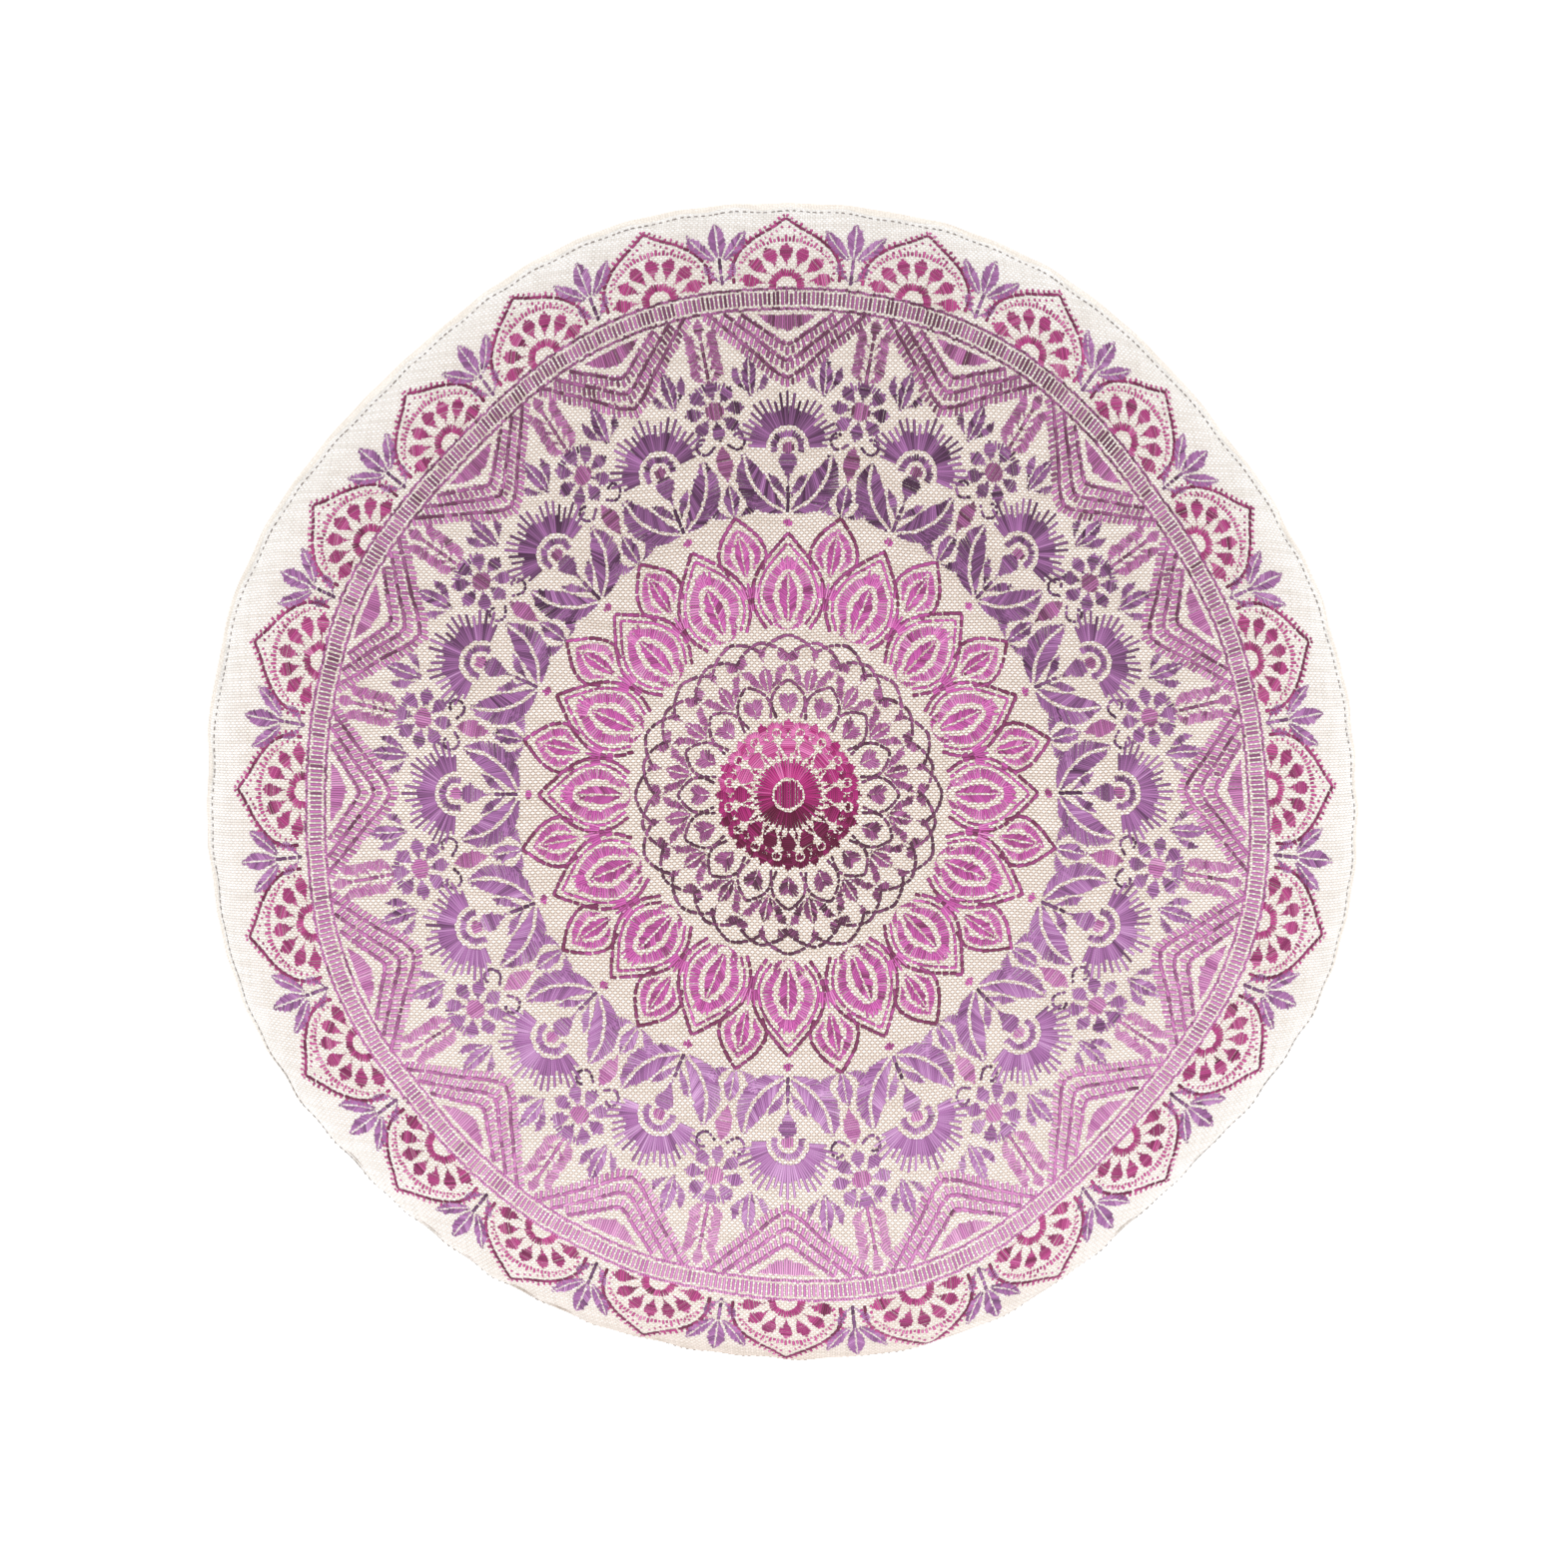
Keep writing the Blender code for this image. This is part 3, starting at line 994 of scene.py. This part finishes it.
def festoon(low, reach):
    """Half of a festoon's line: from the border, a reach to the side, down to its low point on the axis."""
    high = 158.8
    shape = ((1.0, 1.0), (0.69, 0.71), (0.37, 0.40), (0.10, 0.16), (0.0, 0.0))
    return smooth(*((low + (high - low) * rise, reach * side) for rise, side in shape))


def garland(work):
    """Three rows of feathered festoons under the border, with crescents above and ears of grain between."""
    shade = toned(0.55, -0.26)
    line = toned(0.26, -0.20)
    for low, reach in ((137.2, 27.6), (142.8, 21.8), (148.2, 16.0)):
        row = festoon(low, reach)
        work.sew(both(stem(row)), width=1.3, **line)
        work.sew(both(barbs(row, -3.3, 1.75, 68, 0.4)), width=1.15, **shade)
        work.sew(both(barbs(row[4:], 1.2, 1.75, 68, 0.4)), width=1.1, **shade)
    top = smooth((158.8, 9.6), (159.0, 5.0), (159.0, 0))
    low = smooth((158.0, 9.6), (154.6, 5.4), (152.8, 0))
    work.sew(both(satin(top, low)), **shade)
    for rise in (137.6, 141.6, 145.6, 149.6):
        ear = petal(smooth((rise, 1.1), (rise + 2.6, 3.6), (rise + 6.4, 5.0)), 3.6, 0.6)
        work.sew(both(ear), turn=0.5, **shade)
    work.sew(stem(spoke(136.8, 154.0), 2.0), turn=0.5, width=1.2, **line)
    work.sew(petal(spoke(152.6, 159.4), 4.2), turn=0.5, **shade)


def border(work):
    """The barred ring that frames the mandala."""
    shade = toned(0.39, -0.24)
    for radius in (160.9, 168.1):
        work.sew(ribbon(arc((0, 0), radius, 0, 360), 1.5, 0.95), copies=1, width=1.0, **shade)
    work.sew(barbs(arc((0, 0), 162.0, 0, 360), -5.1, 1.5), copies=1, width=0.95, **shade)


def palmettes(work, buds):
    """Ogee palmettes of seven petals over a half ring, with three-leaved buds between them."""
    deep = toned(0.36, 0.04, copies=24)
    pale = toned(0.52, -0.04, copies=24)
    line = toned(0.10, 0.0, copies=24)
    middle = (169.0, 0)
    work.sew(ribbon(arc(middle, 5.0, -98, 98), 3.2), **deep)
    tuft = petal(spoke(7.6, 15.8), 5.2, 0.66)
    for turned in range(-81, 82, 27):
        work.sew(placed(tuft, middle, turned), **deep)
    spread = 20.6 - 2.2 * np.abs(np.linspace(-1, 1, 29)) ** 1.5
    work.sew(rays((168.0, 0), 17.6, spread, -58, 58, 29, 0.3), width=0.9, **pale)
    edge = smooth((170.0, 18.2), (175.6, 18.8), (182.0, 16.2), (187.6, 10.6), (191.6, 4.8), (195.6, 0))
    work.sew(both(stem(edge)), width=1.25, **line)
    work.sew(both(running(inside(edge, 2.2), 1.6, 0.6)), width=1.0, **pale)
    work.sew(both(barbs(edge[4:], 2.0, 2.0, 80, 0.4)), width=0.95, **pale)
    shade = toned(0.46, 0.02, copies=24, turn=0.5)
    buds.sew(fishbone(spoke(180.4, 194.0), 6.2), **shade)
    buds.sew(both(fishbone(smooth((179.8, 1.8), (184.2, 6.2), (189.8, 10.2)), 5.0)), **shade)
    buds.sew(stem(spoke(170.4, 180.0), 2.0), width=1.2, copies=24, turn=0.5, tone=0.2)
    buds.sew(both(petal(smooth((171.6, 0.9), (174.6, 3.8), (178.6, 5.0)), 3.0)), **shade)


def seam(work):
    """Small, dull stitches that close the top seam, just inside the panel's edge."""
    count = round(2 * math.pi * PANEL_RADIUS / SEAM_STITCH)
    turn = (np.arange(count)[:, None] + np.array([0.0, SEAM_STITCH_SHARE])) * 2 * math.pi / count
    rim = (PANEL_RADIUS - SEAM_MARGIN) * compass(turn)
    work.keep((rim - PANEL_OFFSET) / PANEL_STRETCH / MM, width=0.6, tone=0.42)


# ---- stitches as real threads on the cloth

STITCH_HEIGHT = 0.00034
STITCH_FLANK = 0.00007
STITCH_ROOT = -0.00016
# A stitch's ends dip into the cloth over this many millimetres, or this share of a short stitch
DIP, MOST_DIP = 0.5, 0.3
# How unevenly stitches start, along and across, and how unlike their lengths and widths are
START_SPREAD = (0.14, 0.04)
LENGTH_SPREAD = 0.20
WIDTH_SPREAD = (0.88, 1.10)
# How much lighter or darker each few neighbouring stitches are than the next, and each stitch by itself
BUNDLE_TONE = 0.10
STITCH_TONE = 0.09
# Four stations along a stitch: dips passed, whether the float is passed, its share of the width and height
STATIONS = ((0, 0, 0.6, 0.0), (1, 0, 1.0, 1.0), (1, 1, 1.0, 1.0), (2, 1, 0.6, 0.0))
STITCH_POINTS = 12


def on_panel(place, out):
    """Points of the flat embroidery, in millimetres, on the crown of the cushion."""
    flat = place * MM * PANEL_STRETCH + PANEL_OFFSET
    radius, azimuth = np.hypot(*np.moveaxis(flat, -1, 0)), np.arctan2(flat[..., 1], flat[..., 0])
    share = np.interp(radius, CROWN_FLAT, CROWN_SHARES)
    return surface("crown", share, azimuth, out)


def thread_mesh(work):
    """One mesh of all the piece's stitches, each a low rounded ridge whose ends dip into the cloth."""
    ends, widths, tones = (np.concatenate(rows) for rows in (work.ends, work.widths, work.tones))
    count = len(ends)
    run = ends[:, 1] - ends[:, 0]
    span = np.maximum(np.hypot(*run.T), 0.05)
    along = run / span[:, None]
    side = left_of(along)
    start = ends[:, 0]
    for direction, spread in zip((along, side), START_SPREAD):
        start = start + direction * dice.normal(0, spread, (count, 1))
    reach = np.maximum(span + dice.normal(0, LENGTH_SPREAD, count), 0.4)
    widths = widths * dice.uniform(*WIDTH_SPREAD, count)
    bundles = np.repeat(dice.normal(0, BUNDLE_TONE, count // 3 + 1), 3)[:count]
    tones = np.clip(tones + bundles + dice.normal(0, STITCH_TONE, count), 0, 1)
    dip = np.minimum(DIP, MOST_DIP * reach)
    flat, out, strand = [], [], []
    for dips, floats, wide, high in STATIONS:
        gone = dips * dip + floats * (reach - 2 * dip)
        for hand in (-1, 0, 1):
            flat.append(start + along * gone[:, None] + side * (hand * wide * widths / 2)[:, None])
            top = STITCH_HEIGHT if hand == 0 else STITCH_FLANK
            lift = STITCH_ROOT + (top - STITCH_ROOT) * high
            out.append(np.full(count, lift))
            strand.append(np.stack([gone, np.full(count, hand * 0.5), np.full(count, high)], axis=1))
    flat, out, strand = (np.stack(rows, axis=1) for rows in (flat, out, strand))
    points = on_panel(flat, out).reshape(-1, 3)
    faces = stitch_faces(count)
    piece = new_object(work.name, points, faces.tolist())
    set_values(piece.data, "tone", "FLOAT", np.repeat(tones, STITCH_POINTS))
    set_values(piece.data, "strand", "FLOAT_VECTOR", strand.reshape(-1, 3))
    bake = (flat.reshape(-1, 2) * MM / BAKE_SIDE + 0.5)[faces.ravel()]
    piece.data.uv_layers.new(name="OFBake").data.foreach_set("uv", bake.ravel())
    return piece


def stitch_faces(count):
    """Six faces over each stitch's four rows of three points."""
    one = []
    for station in range(3):
        for hand in range(2):
            low = station * 3 + hand
            one.append((low + 1, low, low + 3, low + 4))
    return (np.arange(count)[:, None, None] * STITCH_POINTS + np.array(one)).reshape(-1, 4)


def embroider():
    """Draws and sews the whole mandala, one piece for each kind of thread and zone."""
    zones = (
        ("rosette", "magenta_thread", "rosette_floss", MAGENTA),
        ("arcade", "purple_thread", "arcade_floss", PLUM),
        ("lotus", "pink_thread", "lotus_floss", ORCHID),
        ("flowers", "purple_thread", "flower_floss", PURPLE),
        ("garland", "purple_thread", "garland_floss", MAUVE),
        ("palmettes", "magenta_thread", "palmette_floss", CRIMSON),
        ("buds", "purple_thread", "bud_floss", PURPLE),
        ("seam_stitches", "plain_canvas", "seam_floss", GREY),
    )
    works = [Embroidery(name, slot, floss(material, **tones)) for name, slot, material, tones in zones]
    magenta, plum, orchid, purple, mauve, crimson, lilac, grey = works
    rosette(magenta)
    arcade(plum)
    lotus(orchid)
    flowers(purple, mauve)
    garland(mauve)
    border(mauve)
    palmettes(crimson, lilac)
    seam(grey)
    for work in works:
        piece = thread_mesh(work)
        piece.data.materials.append(work.material)
        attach(piece, "root")


# ---- the cover's pieces


def stand_in(piece, node, material):
    """Gives a piece its cloth, and puts it in the place of its solid."""
    piece.data.materials.append(material)
    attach(piece, "root")
    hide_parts(node)


def make_cover():
    """The three sewn pieces, each in the place of its solid."""
    crown_down = ring_shares("crown", CROWN_RINGS)
    band_down = ring_shares("band", BAND_RINGS)
    underside_down = ring_shares("underside", UNDERSIDE_RINGS)
    under = -(CLOTH + GAP)
    few = slice(None, None, 2)

    layers = [("crown", crown_down, 0.0), ("crown", crown_down[::-1][few], -CLOTH)]
    top = cover_piece("top_cloth", layers)
    stand_in(top, "top_panel", canvas("embroidered_canvas", **CANVAS))

    layers = [
        ("crown", crown_down[few], under),
        ("band", band_down, 0.0),
        ("underside", underside_down, under),
    ]
    filled = cover_piece("filled_band", layers)
    # The side band and the bottom panel take the darker, painted-shade copy of the canvas
    stand_in(filled, "side_band", canvas("side_canvas", **SHADED_CANVAS))

    layers = [("underside", underside_down[::-1][few], -CLOTH), ("underside", underside_down, 0.0)]
    bottom = cover_piece("bottom_cloth", layers)
    stand_in(bottom, "bottom_panel", canvas("bottom_canvas", **SHADED_CANVAS))


# ---- camera, floor and light


def add_camera():
    """A long lens almost straight above, leaning a little towards the top and the left of the picture."""
    data = bpy.data.cameras.new("camera")
    data.sensor_fit = "HORIZONTAL"
    data.sensor_width = 36
    data.lens = data.sensor_width * VIEW_DISTANCE / (IMAGE_WIDTH * METRES_PER_PIXEL)
    data.clip_end = 20
    camera = add_object("camera", data)
    towards = Vector((math.tan(VIEW_LEAN[0]), math.tan(VIEW_LEAN[1]), 1)).normalized()
    camera.location = Vector(VIEW_TARGET) + towards * VIEW_DISTANCE
    across = Vector((0, 1, 0)).cross(towards).normalized()
    upwards = towards.cross(across)
    camera.rotation_euler = Matrix((across, upwards, towards)).transposed().to_euler()
    bpy.context.scene.camera = camera


def add_floor():
    mesh = bpy.data.meshes.new("floor")
    edge = 4.0
    corners = [(-edge, -edge, 0), (edge, -edge, 0), (edge, edge, 0), (-edge, edge, 0)]
    mesh.from_pydata(corners, [], [(0, 1, 2, 3)])
    graph = Graph("pale_floor", roughness=0.9)
    inputs = graph.shader.inputs
    inputs["Base Color"].default_value = (0.93, 0.93, 0.93, 1)
    inputs["Specular IOR Level"].default_value = 0.1
    inputs["Emission Color"].default_value = (1, 1, 1, 1)
    inputs["Emission Strength"].default_value = FLOOR_GLOW
    mesh.materials.append(graph.material)
    add_object("floor", mesh)


def add_softbox(name, place, aim, size, power):
    """A white rectangle of light that the camera doesn't see."""
    data = bpy.data.lights.new(name, "AREA")
    data.shape = "RECTANGLE"
    data.size, data.size_y = size
    data.energy = power
    light = add_object(name, data)
    light.location = place
    light.rotation_euler = (Vector(place) - Vector(aim)).to_track_quat("Z", "Y").to_euler()
    light.visible_camera = False


def add_light():
    """High-key studio light: a white room, a broad key from the picture's foot and strips round the rim."""
    world = bpy.data.worlds.new("studio")
    world.use_nodes = True
    background = world.node_tree.nodes["Background"]
    background.inputs["Color"].default_value = (1, 1, 1, 1)
    background.inputs["Strength"].default_value = WORLD_LIGHT
    bpy.context.scene.world = world
    bpy.context.scene.view_settings.view_transform = "Standard"
    add_softbox("key", KEY_PLACE, (0, 0, 0.1), KEY_SIZE, KEY_POWER)
    for degrees, watts in STRIPS.items():
        turn = math.radians(degrees)
        place = (*(STRIP_DISTANCE * compass(turn)), STRIP_HEIGHT)
        add_softbox(f"strip_{degrees}", place, (0, 0, STRIP_HEIGHT), STRIP_SIZE, watts)


# ---- the whole scene


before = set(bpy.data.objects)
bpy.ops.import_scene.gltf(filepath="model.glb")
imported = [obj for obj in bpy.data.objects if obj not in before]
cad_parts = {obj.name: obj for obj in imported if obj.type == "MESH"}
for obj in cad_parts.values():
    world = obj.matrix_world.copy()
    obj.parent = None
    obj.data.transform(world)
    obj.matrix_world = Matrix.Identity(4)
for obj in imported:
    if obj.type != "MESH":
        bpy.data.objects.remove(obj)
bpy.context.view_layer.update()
pole = max(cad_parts["top_panel"].data.vertices, key=lambda vertex: vertex.co.z).co
shift = np.array([pole.x, pole.y, 0.0])

add_camera()
add_floor()
add_light()
simulate()
make_cover()
embroider()
